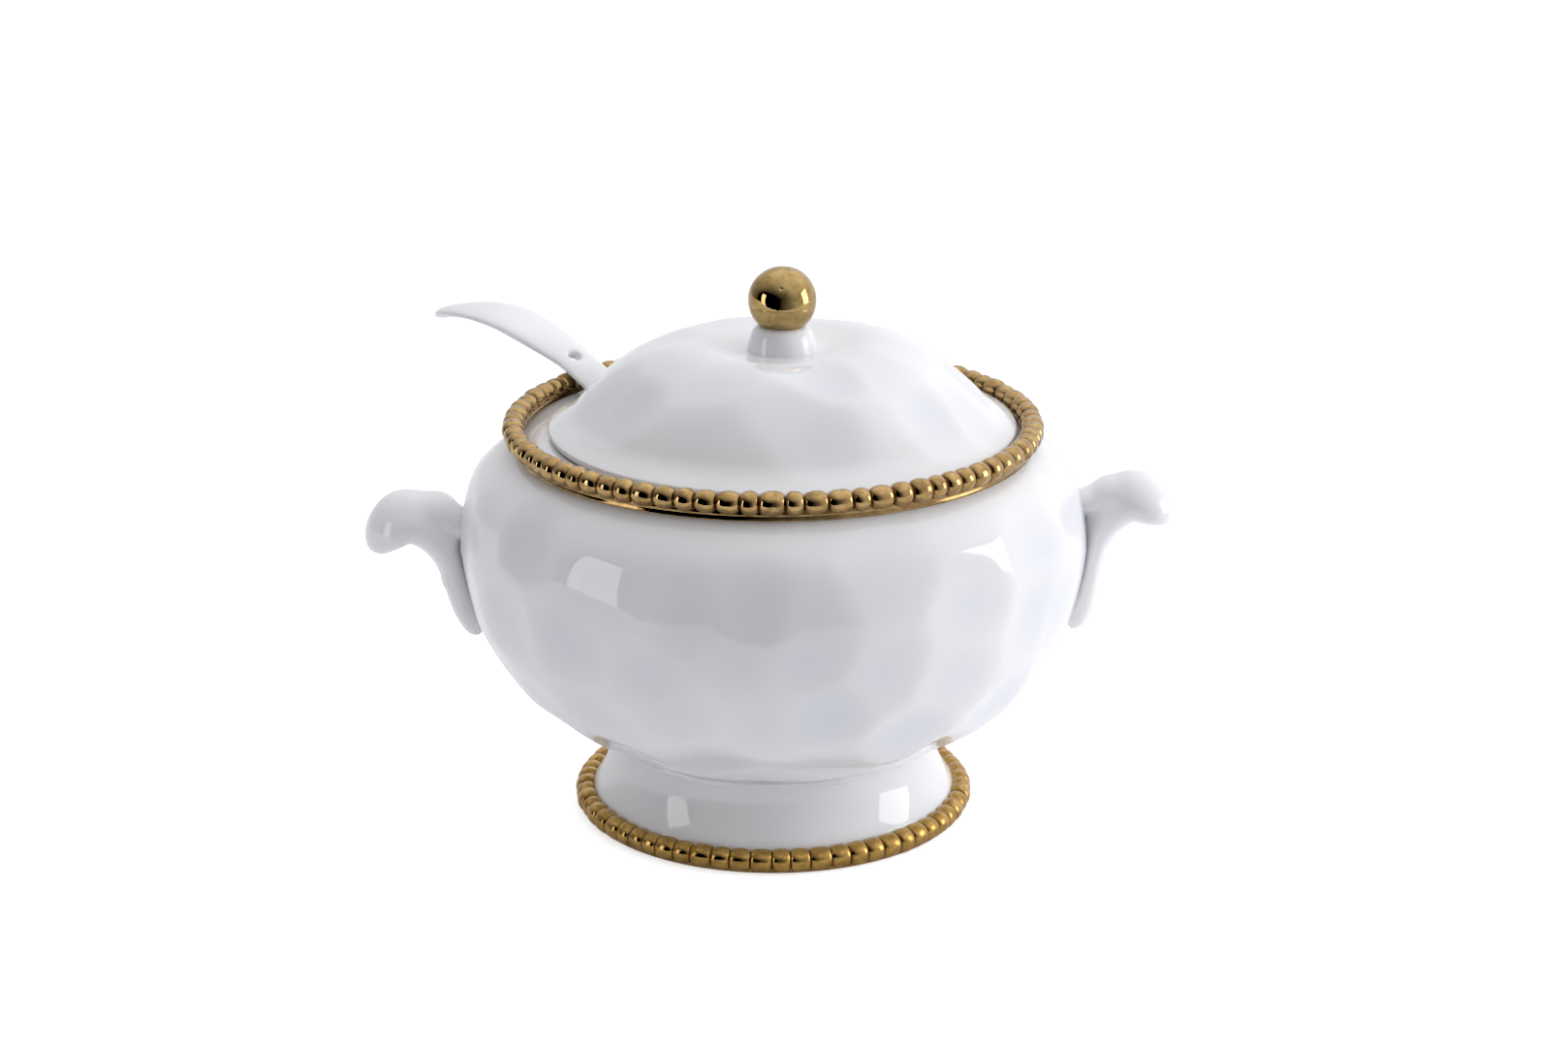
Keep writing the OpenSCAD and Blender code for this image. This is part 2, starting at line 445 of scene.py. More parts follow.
@dataclass(frozen=True)
class GlazedPorcelain:
    """Hard white porcelain, dipped in a clear feldspar glaze and fired till it flows.

    To the eye it is a cool white body under a wet, slightly uneven gloss: the glaze lies thicker
    and a touch bluer in the hollows, swells in slow waves and carries a few pinholes.
    """

    name: str = "glazed_porcelain"
    body: str = "#F5F5F6"
    pooled: str = "#DFE2E9"
    pinhole: str = "#A9A6A2"
    glaze_ior: float = 1.5
    gloss_low: float = 0.015
    gloss_high: float = 0.05
    flow_size: float = 22 * MM
    flow_height: float = 0.10 * MM
    peel_size: float = 2.4 * MM
    peel_height: float = 0.004 * MM
    pinhole_spacing: float = 26 * MM
    pinhole_radius: float = 0.35 * MM

    def build(self) -> bpy.types.Material:
        """Makes the material.

        Returns:
            The glazed white finish.
        """
        material, tree, place = blank_material(self.name)
        slow = add_node(tree, "TexNoise", {"Scale": per_metre(3 * self.flow_size), "Detail": 2.0},
                        {"Vector": place})
        hollow = add_node(tree, "Attribute", {"attribute_name": "hollow"})
        thick = add_node(tree, "Math", {"operation": "MULTIPLY_ADD", 1: 0.55, 2: -0.12},
                         {0: slow.outputs["Fac"]})
        thickness = add_node(tree, "Math", {"operation": "MULTIPLY_ADD", 1: 0.5, "use_clamp": True},
                             {0: hollow.outputs["Fac"], 2: thick.outputs[0]})
        glaze = add_node(tree, "Mix", {"data_type": "RGBA", 6: srgb(self.body), 7: srgb(self.pooled)},
                         {0: thickness.outputs[0]})
        hole = spots(tree, place, self.pinhole_spacing, self.pinhole_radius, 0.6)
        colour = add_node(tree, "Mix", {"data_type": "RGBA", 7: srgb(self.pinhole)},
                          {0: hole, 6: glaze.outputs[2]})
        gloss = add_node(tree, "MapRange", {"To Min": self.gloss_low, "To Max": self.gloss_high},
                         {"Value": slow.outputs["Fac"]})
        flow = add_node(tree, "TexNoise", {"Scale": per_metre(self.flow_size), "Detail": 1.0},
                        {"Vector": place})
        peel = add_node(tree, "TexNoise", {"Scale": per_metre(self.peel_size), "Detail": 1.0},
                        {"Vector": place})
        waves = add_node(tree, "Bump", {"Strength": 1.0, "Distance": self.flow_height},
                         {"Height": flow.outputs["Fac"]})
        skin = add_node(tree, "Bump", {"Strength": 1.0, "Distance": self.peel_height},
                        {"Height": peel.outputs["Fac"], "Normal": waves.outputs["Normal"]})
        shader = add_node(tree, "BsdfPrincipled", {"IOR": self.glaze_ior, "Metallic": 0.0},
                          {"Base Color": colour.outputs[2], "Roughness": gloss.outputs[0],
                           "Normal": skin.outputs["Normal"]})
        add_node(tree, "OutputMaterial", {}, {"Surface": shader.outputs[0]})
        return material


@dataclass(frozen=True)
class GoldLustre:
    """Gold lustre brushed over the glaze and fired: a thin bright metal film.

    To the eye it is warm mirror gold, a little browner where the brush left it thin, with soft brush
    streaks and the odd pit where the film did not take. Its groove colour is painted shade, laid in the
    grooves between beads and under them.
    """

    name: str
    bright: str = "#C8AC76"
    thin: str = "#9E8249"
    # groove: painted shade, the dark colour laid where the hollow layer is set, between beads and on
    # the collar under them
    groove: str = "#4A391C"
    pit: str = "#2E2415"
    gloss_low: float = 0.07
    gloss_high: float = 0.20
    brush_size: float = 4.5 * MM
    ripple_height: float = 0.035 * MM
    pit_spacing: float = 7 * MM
    pit_radius: float = 0.35 * MM

    def build(self) -> bpy.types.Material:
        """Makes the material.

        Returns:
            The gilded finish.
        """
        material, tree, place = blank_material(self.name)
        brush = add_node(tree, "TexNoise", {"Scale": per_metre(self.brush_size), "Detail": 3.0,
                                                      "Distortion": 0.6}, {"Vector": place})
        film = add_node(tree, "MapRange", {"From Min": 0.35, "From Max": 0.72},
                        {"Value": brush.outputs["Fac"]})
        gold = add_node(tree, "Mix", {"data_type": "RGBA", 6: srgb(self.bright), 7: srgb(self.thin)},
                        {0: film.outputs[0]})
        # Painted shade: the hollow layer darkens the gold towards the groove colour.
        depth = add_node(tree, "Attribute", {"attribute_name": "hollow"})
        gold_with_painted_groove_shade = add_node(tree, "Mix", {"data_type": "RGBA", 7: srgb(self.groove)},
                          {0: depth.outputs["Fac"], 6: gold.outputs[2]})
        missed = spots(tree, place, self.pit_spacing, self.pit_radius, 0.5)
        colour = add_node(tree, "Mix", {"data_type": "RGBA", 7: srgb(self.pit)},
                          {0: missed, 6: gold_with_painted_groove_shade.outputs[2]})
        gloss = add_node(tree, "MapRange", {"To Min": self.gloss_low, "To Max": self.gloss_high},
                         {"Value": brush.outputs["Fac"]})
        ripple = add_node(tree, "Bump", {"Strength": 1.0, "Distance": self.ripple_height},
                          {"Height": brush.outputs["Fac"]})
        shader = add_node(tree, "BsdfPrincipled", {"Metallic": 1.0},
                          {"Base Color": colour.outputs[2], "Roughness": gloss.outputs[0],
                           "Normal": ripple.outputs["Normal"]})
        add_node(tree, "OutputMaterial", {}, {"Surface": shader.outputs[0]})
        return material


@dataclass(frozen=True)
class StudioPaper:
    """Matt white background paper on a light table, so that it is white and its shadows stay faint.

    To the eye the table's own light whitens the paper, and only a little of it reaches the tureen.
    """

    name: str = "studio_paper"
    sheet: str = "#FBFBFC"
    mottle: str = "#F7F7F9"
    mottle_size: float = 30 * MM
    glow: float = 0.62
    spill: float = 0.06

    def build(self) -> bpy.types.Material:
        """Makes the material.

        Returns:
            The paper's finish.
        """
        material, tree, place = blank_material(self.name)
        cloud = add_node(tree, "TexNoise", {"Scale": per_metre(self.mottle_size)},
                         {"Vector": place})
        colour = add_node(tree, "Mix", {"data_type": "RGBA", 6: srgb(self.sheet), 7: srgb(self.mottle)},
                          {0: cloud.outputs["Fac"]})
        seen = add_node(tree, "LightPath").outputs["Is Camera Ray"]
        light = add_node(tree, "MapRange", {"To Min": self.spill, "To Max": self.glow},
                         {"Value": seen})
        shader = add_node(tree, "BsdfPrincipled",
                          {"Roughness": 0.9, "Specular IOR Level": 0.1,
                           "Emission Color": srgb("#FFFFFF")},
                          {"Base Color": colour.outputs[2], "Emission Strength": light.outputs[0]})
        add_node(tree, "OutputMaterial", {}, {"Surface": shader.outputs[0]})
        return material


@dataclass(frozen=True)
class Finishes:
    """The materials that the pieces share."""

    porcelain: bpy.types.Material
    knob_gold: bpy.types.Material
    rim_gold: bpy.types.Material
    foot_gold: bpy.types.Material


# ---------------------------------------------------------------- studio


@dataclass(frozen=True)
class SoftBox:
    """A rectangular softbox that faces the tureen. Azimuth is counted from the front to the right."""

    name: str
    azimuth: float
    elevation: float
    width: float
    height: float
    radiance: float
    distance: float = 2.2

    def build(self, target: Vector) -> None:
        """Hangs the softbox.

        Args:
            target: the point that it faces.
        """
        turn, lift = math.radians(self.azimuth), math.radians(self.elevation)
        level = math.cos(lift)
        towards = Vector((math.sin(turn) * level, -math.cos(turn) * level, math.sin(lift)))
        lamp = bpy.data.lights.new(self.name, "AREA")
        lamp.shape = "RECTANGLE"
        lamp.size, lamp.size_y = self.width, self.height
        lamp.energy = self.radiance * math.pi * self.width * self.height
        hung = bpy.data.objects.new(self.name, lamp)
        hung.location = target + towards * self.distance
        hung.rotation_euler = (-towards).to_track_quat("-Z", "Y").to_euler()
        hung.visible_camera = False
        bpy.context.scene.collection.objects.link(hung)


@dataclass
class Studio:
    """White floor, a room that is bright behind and to the right, two softboxes and the camera."""

    camera_place: Vector = Vector((0.0047, -1.391, 0.588))
    camera_pitch: float = -18.34
    lens: float = 78.03
    sensor: float = 36.0
    floor_side: float = 9.0
    floor_front: float = -0.62
    ceiling: float = 0.45
    back: float = 0.50
    right: float = 0.44
    front_shade: float = 0.40
    shade_turn: float = 0.45
    overhead: float = 0.56
    backdrop: float = 1.0
    boxes: tuple[SoftBox, ...] = (
        SoftBox("left_softbox", -66, 6, 0.62, 1.6, 3.0),
        SoftBox("right_softbox", 88, 8, 0.90, 1.5, 4.0),
    )

    def build(self) -> None:
        """Sets up the camera, the floor, the room and the lamps."""
        self.place_camera()
        self.lay_floor()
        self.light_room()
        for box in self.boxes:
            box.build(Vector((0, 0, 0.12)))
        bpy.context.scene.view_settings.view_transform = "Standard"

    def place_camera(self) -> None:
        """Puts the camera in front of the tureen, a little above its lid."""
        data = bpy.data.cameras.new("front_camera")
        data.lens, data.sensor_width = self.lens, self.sensor
        camera = bpy.data.objects.new("front_camera", data)
        camera.location = self.camera_place
        camera.rotation_euler = (math.radians(90 + self.camera_pitch), 0, 0)
        bpy.context.scene.collection.objects.link(camera)
        bpy.context.scene.camera = camera

    def lay_floor(self) -> None:
        """Lays the white paper that the tureen stands on."""
        bm = bmesh.new()
        bmesh.ops.create_grid(bm, x_segments=8, y_segments=8, size=self.floor_side / 2)
        bmesh.ops.translate(bm, verts=bm.verts, vec=(0, self.floor_side / 2 + self.floor_front, 0))
        floor = make_piece(bm, "studio_floor")
        floor.data.materials.append(StudioPaper().build())

    def light_room(self) -> None:
        """Fills the room with soft light, strongest at the back and on the right."""
        world = bpy.data.worlds.new("studio_room")
        world.use_nodes = True
        tree = world.node_tree
        tree.nodes.clear()
        place = add_node(tree, "TexCoord").outputs["Generated"]
        axes = add_node(tree, "SeparateXYZ", {}, {"Vector": place})
        behind = add_node(tree, "MapRange",
                          {"interpolation_type": "SMOOTHSTEP", "From Min": -0.35, "From Max": 0.9,
                           "To Min": self.ceiling, "To Max": self.ceiling + self.back},
                          {"Value": axes.outputs["Y"]})
        facing = add_node(tree, "Math", {"operation": "MULTIPLY_ADD", 1: self.shade_turn},
                          {0: axes.outputs["X"], 2: axes.outputs["Y"]})
        front = add_node(tree, "MapRange",
                         {"interpolation_type": "SMOOTHSTEP", "From Min": -0.25, "From Max": -0.95,
                          "To Min": 0.0, "To Max": -self.front_shade}, {"Value": facing.outputs[0]})
        side = add_node(tree, "Math", {"operation": "MULTIPLY_ADD", 1: self.right},
                        {0: axes.outputs["X"], 2: behind.outputs[0]})
        level = add_node(tree, "Math", {"operation": "ADD"},
                         {0: side.outputs[0], 1: front.outputs[0]})
        above = add_node(tree, "MapRange",
                         {"interpolation_type": "SMOOTHSTEP", "From Min": 0.25, "From Max": 0.95,
                          "To Min": 0.0, "To Max": self.overhead}, {"Value": axes.outputs["Z"]})
        total = add_node(tree, "Math", {"operation": "ADD"},
                         {0: level.outputs[0], 1: above.outputs[0]})
        room = add_node(tree, "Background", {"Color": srgb("#FAFAFD")},
                        {"Strength": total.outputs[0]})
        paper = add_node(tree, "Background",
                         {"Color": srgb("#FFFFFF"), "Strength": self.backdrop})
        rays = add_node(tree, "LightPath")
        mixed = add_node(tree, "MixShader", {},
                         {0: rays.outputs["Is Camera Ray"], 1: room.outputs[0], 2: paper.outputs[0]})
        add_node(tree, "OutputWorld", {}, {"Surface": mixed.outputs[0]})
        bpy.context.scene.world = world


# ---------------------------------------------------------------- bowl and foot


@dataclass
class Bowl:
    """The round-bellied bowl, with the ledge that the lid sits on and the gilded collar."""

    finishes: Finishes
    belly_handles: Sequence[Point] = ((75, 38), (124, 53.5), (135.3, 104.5), (135.3, 122))
    shoulder_handles: Sequence[Point] = ((135.3, 122), (135.3, 150.5), (122.5, 159), (109.5, 164.8))
    inner_handles: Sequence[Point] = ((58, 43), (112, 54), (130.6, 102), (130.6, 122))
    inner_shoulder: Sequence[Point] = ((130.6, 122), (130.6, 146.5), (118, 155.5), (101, 161.5))
    steps: int = 320
    skin_rows: int = 56
    ledge_lip: float = 0.9 * MM
    dents: Dents = Dents(spacing=35 * MM, reach=25 * MM, depth=2.4 * MM, seed=11)

    def build(self) -> None:
        """Makes the bowl's pieces."""
        self.throw_shell()
        self.throw_ledge()
        self.gild_collar()

    def outer_curve(self) -> list[Point]:
        """The outside of the bowl, from the foot to the shoulder's edge."""
        rows = self.skin_rows
        return chain(bezier(mm(self.belly_handles), rows), bezier(mm(self.shoulder_handles), rows // 2))

    def throw_shell(self) -> None:
        """Throws the bowl's wall and presses its outside all over by hand."""
        low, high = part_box("bowl_shell")
        outer = self.outer_curve()
        inner = chain(bezier(mm(self.inner_handles), 26), bezier(mm(self.inner_shoulder), 16))
        floor = [(0.0, low.z), (40 * MM, low.z), (68 * MM, low.z)]
        top = [(108.6 * MM, high.z), (102 * MM, high.z), (101 * MM, high.z - 1 * MM)]
        well = [(30 * MM, 43 * MM), (0.0, 43 * MM)]
        bm = clay()
        lathe(bm, chain(floor, outer, top, inner[::-1], well), self.steps)
        clean(bm)
        skin = [v for v in bm.verts if v.normal.dot(Vector((v.co.x, v.co.y, 0))) > 0
                and v.co.z > low.z + 2 * MM and v.co.z < high.z - 1.5 * MM]
        self.dents.press(bm, skin, self.dents.centres(outer[6:-12]))
        bm.normal_update()
        wobble(skin, 60 * MM, 0.5 * MM, 3.1)
        dress(make_piece(bm, "bowl_shell_skin"), self.finishes.porcelain, Body.TUREEN, "bowl_shell")

    def throw_ledge(self) -> None:
        """Throws the white ledge inside the mouth, relieved where the ladle passes."""
        low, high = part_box("lid_gallery")
        inner_r, outer_r = 91 * MM, high.x + 0.2 * MM
        lip = self.ledge_lip
        outline = [(outer_r, low.z - 0.2 * MM), (outer_r, high.z), (inner_r + 2 * lip, high.z),
                   (inner_r + 0.6 * lip, high.z - 0.3 * lip), (inner_r, high.z - lip),
                   (inner_r, low.z + lip), (inner_r + lip, low.z - 0.2 * MM)]
        bm = clay()
        lathe(bm, outline, 256, closed=True)
        clean(bm)
        notch = Vector((math.cos(Ladle.azimuth()), math.sin(Ladle.azimuth()), 0))
        middle = notch * 91 * MM
        for vert in bm.verts:
            away = Vector((vert.co.x, vert.co.y, 0)) - middle
            along = Vector((vert.co.x, vert.co.y, 0)).length
            if along < 99 * MM and away.length < 16 * MM:
                reach = 9 * MM * (1 - (away.length / (16 * MM)) ** 2)
                vert.co += Vector((vert.co.x, vert.co.y, 0)).normalized() * reach
        wobble(bm.verts, 18 * MM, 0.15 * MM, 5.0)
        dress(make_piece(bm, "lid_gallery_ledge"), self.finishes.porcelain, Body.TUREEN, "lid_gallery")

    def gild_collar(self) -> None:
        """Gilds the collar under the beads, down to an uneven brushed edge on the shoulder."""
        low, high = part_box("rim_collar")
        proud = 0.30 * MM
        shoulder = [(r + proud, z + proud) for r, z in self.outer_curve() if 163.9 * MM < z < low.z]
        outline = chain([(105.4 * MM, low.z - 0.5 * MM), (105.4 * MM, high.z - 1 * MM),
                         (106.2 * MM, high.z), (108.6 * MM, high.z), (109.6 * MM, high.z - 1.2 * MM),
                         (110.2 * MM, low.z + 1.5 * MM)], shoulder[::-1],
                        [(shoulder[0][0] - 1.0 * MM, shoulder[0][1] - 0.3 * MM)])
        bm = clay()
        lathe(bm, outline, 256, closed=True)
        clean(bm)
        edge = low.z - 0.2 * MM
        hollow = bm.verts.layers.float["hollow"]
        for vert in bm.verts:
            # Painted shade: the whole collar is darkened 0.3 of the way towards the groove colour, for
            # the shade under the beads.
            vert[hollow] = 0.3
            if vert.co.z < edge and vert.co.xy.length > 106 * MM:
                pull = 0.55 + 0.45 * noise.noise(vert.co / (9 * MM))
                drop = (edge - vert.co.z) * (1 - pull)
                vert.co.z += drop
                vert.co.xy = vert.co.xy.normalized() * (vert.co.xy.length - 1.7 * drop)
        dress(make_piece(bm, "rim_collar_gilding"), self.finishes.rim_gold, Body.TUREEN, "rim_collar")


@dataclass
class BeadRing:
    """A ring of gilded beads rolled from one coil of clay and cut by hand, so that no two match."""

    node: str
    beads: int
    finish: bpy.types.Material
    seed: int
    uneven: float = 0.13
    groove: float = 0.62
    crest: tuple[float, float] = (0.94, 1.03)
    squareness: tuple[float, float] = (2.0, 2.9)
    sections: int = 12
    sides: int = 20

    def build(self) -> None:
        """Rolls the coil, cuts the beads and gilds them."""
        low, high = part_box(self.node)
        tube_r = (high.z - low.z) / 2
        middle = (high.x - tube_r, (high.z + low.z) / 2)
        bm = clay()
        total = self.beads * self.sections
        roll_ring(bm, middle, tube_r, self.sides, total)
        clean(bm)
        self.cut(bm, middle, total)
        bm.normal_update()
        wobble(bm.verts, 3 * MM, 0.16 * MM, self.seed)
        dress(make_piece(bm, f"{self.node}_ring"), self.finish, Body.TUREEN, self.node)

    def cut(self, bm: bmesh.types.BMesh, middle: Point, total: int) -> None:
        """Draws the coil in between beads and gives each bead its own width and height.

        Args:
            bm: the plain coil.
            middle: the middle of the coil's section, as radius and height.
            total: how many sections the coil has.
        """
        rng = random.Random(self.seed)
        widths = [1 + rng.uniform(-self.uneven, self.uneven) for _ in range(self.beads)]
        crests = [rng.uniform(*self.crest) for _ in range(self.beads)]
        squares = [rng.uniform(*self.squareness) for _ in range(self.beads)]
        span = math.tau / sum(widths)
        starts = [span * sum(widths[:k]) for k in range(self.beads)]
        layer = bm.verts.layers.float["hollow"]
        for vert in bm.verts:
            index = round(math.atan2(vert.co.y, vert.co.x) / math.tau * total) % total
            bead, step = divmod(index, self.sections)
            across = -math.cos(math.pi * step / self.sections)
            swell = (1 - abs(across) ** squares[bead]) ** 0.5
            crest = crests[bead] if step else (crests[bead] + crests[bead - 1]) / 2
            size = crest * (self.groove + (1 - self.groove) * swell)
            angle = starts[bead] + widths[bead] * span * (across + 1) / 2
            r = middle[0] + (vert.co.xy.length - middle[0]) * size
            z = middle[1] + (vert.co.z - middle[1]) * size
            vert.co = (r * math.cos(angle), r * math.sin(angle), z)
            # The waists between beads get a high hollow value, which the gold finishes turn into
            # painted shade.
            vert[layer] = max(0.0, 1 - swell / 0.55)


@dataclass
class Foot:
    """The waisted pedestal foot, with a roll of glaze where it meets the bowl and a gilded base."""

    finishes: Finishes
    waist_handles: Sequence[Point] = ((71.5, 36), (68.5, 28), (72.5, 18), (79, 9))
    inside_handles: Sequence[Point] = ((72.5, 3), (69, 14), (65.5, 24), (65.5, 37))
    roll_at: Point = (71.9, 35.2)
    roll_r: float = 1.8 * MM
    steps: int = 256

    def build(self) -> None:
        """Makes the foot's pieces."""
        self.throw_pedestal()
        self.gild_base()

    def throw_pedestal(self) -> None:
        """Throws the waisted wall and lays the uneven roll of slip round its neck."""
        outer = bezier(mm(self.waist_handles), 26)
        inner = bezier(mm(self.inside_handles), 12)
        bm = clay()
        outline = chain(mm([(71.5, 37.3)]), outer, mm([(79.6, 3)]), inner)
        lathe(bm, outline, self.steps, closed=True)
        clean(bm)
        skin = [v for v in bm.verts if v.co.xy.length > 67 * MM and 9 * MM < v.co.z < 36 * MM]
        wobble(skin, 34 * MM, 0.7 * MM, 7.7)
        neck_r, neck_z = mm([self.roll_at])[0]
        before = set(bm.verts)
        roll_ring(bm, (neck_r, neck_z), self.roll_r, 12, self.steps)
        bmesh.ops.remove_doubles(bm, verts=bm.verts, dist=0.002 * MM)
        for vert in set(bm.verts) - before:
            way = vert.co.xy.normalized()
            fat = 1 + 0.38 * noise.noise(Vector((way.x, way.y, 0)) * 9)
            rise = 0.7 * MM * noise.noise(Vector((*way, 4)) * 4)
            vert.co.z = neck_z + (vert.co.z - neck_z) * fat + rise
            vert.co.xy = way * (neck_r + (vert.co.xy.length - neck_r) * fat)
        clean(bm)
        piece = make_piece(bm, "pedestal_foot_wall")
        dress(piece, self.finishes.porcelain, Body.TUREEN, "pedestal_foot")

    def gild_base(self) -> None:
        """Makes the plain gilded ring under the foot's beads."""
        low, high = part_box("foot_band")
        inner_r, outer_r, lip = 72.5 * MM, high.x, 0.9 * MM
        corner = 0.3 * lip
        outline = [(inner_r, high.z + 0.4 * MM), (inner_r, low.z + lip),
                   (inner_r + corner, low.z + corner), (inner_r + lip, low.z),
                   (outer_r - lip, low.z), (outer_r - corner, low.z + corner),
                   (outer_r, low.z + lip), (outer_r, high.z - corner),
                   (outer_r - lip, high.z + 0.4 * MM)]
        bm = clay()
        lathe(bm, outline, self.steps, closed=True)
        clean(bm)
        upper = [v for v in bm.verts if v.co.z > low.z + 0.5 * lip]
        wobble(upper, 14 * MM, 0.25 * MM, 2.2)
        dress(make_piece(bm, "foot_band_ring"), self.finishes.foot_gold, Body.TUREEN, "foot_band")


# ---------------------------------------------------------------- handles


@dataclass(frozen=True)
class Slice:
    """One section of a lug handle, in millimetres: place, half thickness, half width, edge droop."""

    x: float
    z: float
    thick: float
    wide: float
    droop: float = 0.0

    @staticmethod
    def between(four: Sequence["Slice"], t: float) -> "Slice":
        """Blends smoothly through a row of sections.

        Args:
            four: the section before, the two on either side and the one after.
            t: how far from the second section towards the third.

        Returns:
            The section there.
        """
        rows = zip(*(vars(cut).values() for cut in four))
        return Slice(*(0.5 * (2 * b + (c - a) * t + (2 * a - 5 * b + 4 * c - d) * t ** 2
                              + (3 * b - a - 3 * c + d) * t ** 3) for a, b, c, d in rows))


@dataclass(frozen=True)
class Pull:
    """How one lug handle came out of the hand: three straps that are welded while they are soft."""

    strap: Sequence[Slice]
    stem: Sequence[Slice]
    bridge: Sequence[Slice]


class Hand(Enum):
    """The two handles' shapes. The left one's thumb rest hangs lower than the right one's."""

    RIGHT = Pull(
        strap=(Slice(129.4, 79.2, 1.4, 2.6), Slice(130.4, 81.4, 3.4, 5.2), Slice(132, 85, 4.6, 7),
               Slice(134.6, 92, 5, 8), Slice(136.4, 100, 5, 8.5), Slice(137.8, 108.5, 4.8, 9),
               Slice(139.2, 117, 5.2, 10.5), Slice(141.4, 125.5, 6.8, 13),
               Slice(145.8, 133.5, 9, 15.5, 1), Slice(151.5, 139.4, 10.4, 17, 1.5),
               Slice(158.5, 139.4, 10.4, 17.5, 2), Slice(164.6, 136.2, 9, 16.5, 2),
               Slice(168.6, 132.8, 6.2, 13, 1), Slice(170.8, 131, 2.6, 7)),
        stem=(Slice(137.6, 100, 3.8, 6.5), Slice(137.6, 110, 4.2, 7), Slice(138, 121, 4.6, 7.5),
              Slice(138.8, 131, 5.4, 8), Slice(139.4, 138, 5.6, 9)),
        bridge=(Slice(152, 141, 8, 13.5), Slice(144, 141, 7.4, 12), Slice(138.5, 139, 5.6, 10.5),
                Slice(131, 136.5, 4.8, 9.5)))
    LEFT = Pull(
        strap=(Slice(127.8, 76.2, 1.4, 2.6), Slice(128.8, 78.2, 3.4, 5.2), Slice(130.6, 81.5, 4.6, 7),
               Slice(133.8, 88.8, 5.2, 8), Slice(136.4, 97, 5.4, 8.5), Slice(138.6, 105, 5.6, 9),
               Slice(140.6, 112, 6.2, 10.5), Slice(143.6, 119, 7.8, 13),
               Slice(148, 125.5, 9.6, 16, 1), Slice(154, 130.5, 10.8, 18, 3),
               Slice(161, 130.5, 10.8, 18.5, 5), Slice(167, 125.5, 9, 17, 5),
               Slice(171, 119.5, 5.8, 13, 3), Slice(172.8, 116.5, 2.6, 7)),
        stem=(Slice(139.5, 100, 4.4, 8), Slice(139.8, 110, 4.8, 9.5), Slice(140.2, 120, 5.2, 10.5),
              Slice(141, 130, 5.6, 11)),
        bridge=(Slice(152, 131, 9.8, 14), Slice(144, 131.8, 9.2, 12.5), Slice(139, 129.4, 6.8, 11),
                Slice(132, 126, 5.6, 10)))


@dataclass
class LugHandle:
    """A strap pulled by hand: it grows out of the belly, curls over and ends in a broad thumb rest."""

    node: str
    finishes: Finishes
    hand: Hand
    voxel: float = 0.9 * MM
    sides: int = 40
    between: int = 6
    rubs: int = 8

    def build(self) -> None:
        """Pulls the strap, presses it on to the belly and dresses it."""
        bm = clay()
        for slices in vars(self.hand.value).values():
            self.pull(bm, slices)
        bmesh.ops.recalc_face_normals(bm, faces=bm.faces)
        piece = make_piece(bm, f"{self.node}_lug")
        remesh = piece.modifiers.new("weld", "REMESH")
        remesh.mode = "VOXEL"
        remesh.voxel_size = self.voxel
        bake_modifiers(piece)
        self.smooth(piece)
        dress(piece, self.finishes.porcelain, Body.TUREEN, self.node)

    def pull(self, bm: bmesh.types.BMesh, slices: Sequence[Slice]) -> None:
        """Skins one strap over its sections.

        Args:
            bm: the mesh that receives it.
            slices: the sections, from one end to the other.
        """
        held = [slices[0], *slices, slices[-1]]
        fine = [Slice.between(held[i:i + 4], k / self.between) for i in range(len(slices) - 1)
                for k in range(self.between)] + [slices[-1]]
        rings = []
        for index, cut in enumerate(fine):
            back, ahead = fine[max(0, index - 2)], fine[min(len(fine) - 1, index + 2)]
            along = Vector((ahead.x - back.x, 0, ahead.z - back.z)).normalized()
            out = Vector((along.z, 0, -along.x))
            made = bmesh.ops.create_circle(bm, cap_ends=False, segments=self.sides, radius=1.0)["verts"]
            for vert in made:
                wide, thick = vert.co.x, vert.co.y
                lift = thick * cut.thick - cut.droop * wide ** 2
                place = Vector((cut.x, 0, cut.z)) + Vector((0, 1, 0)) * wide * cut.wide - out * lift
                vert.co = place * MM
            rings.append(made)
        loft(bm, rings)

    def smooth(self, piece: bpy.types.Object) -> None:
        """Rubs the clay smooth, adds slow finger marks and mirrors the left handle.

        Args:
            piece: the welded handle.
        """
        bm = clay()
        bm.from_mesh(piece.data)
        for _ in range(self.rubs):
            bmesh.ops.smooth_vert(bm, verts=bm.verts, factor=0.5, use_axis_x=True, use_axis_y=True,
                                  use_axis_z=True)
        bm.normal_update()
        wobble(bm.verts, 24 * MM, 0.6 * MM, 9.0)
        if self.hand is Hand.LEFT:
            bmesh.ops.scale(bm, verts=bm.verts, vec=(-1, 1, 1))
            bmesh.ops.reverse_faces(bm, faces=bm.faces)
        bm.to_mesh(piece.data)
        bm.free()
        smooth_faces(piece.data)


# ---------------------------------------------------------------- lid


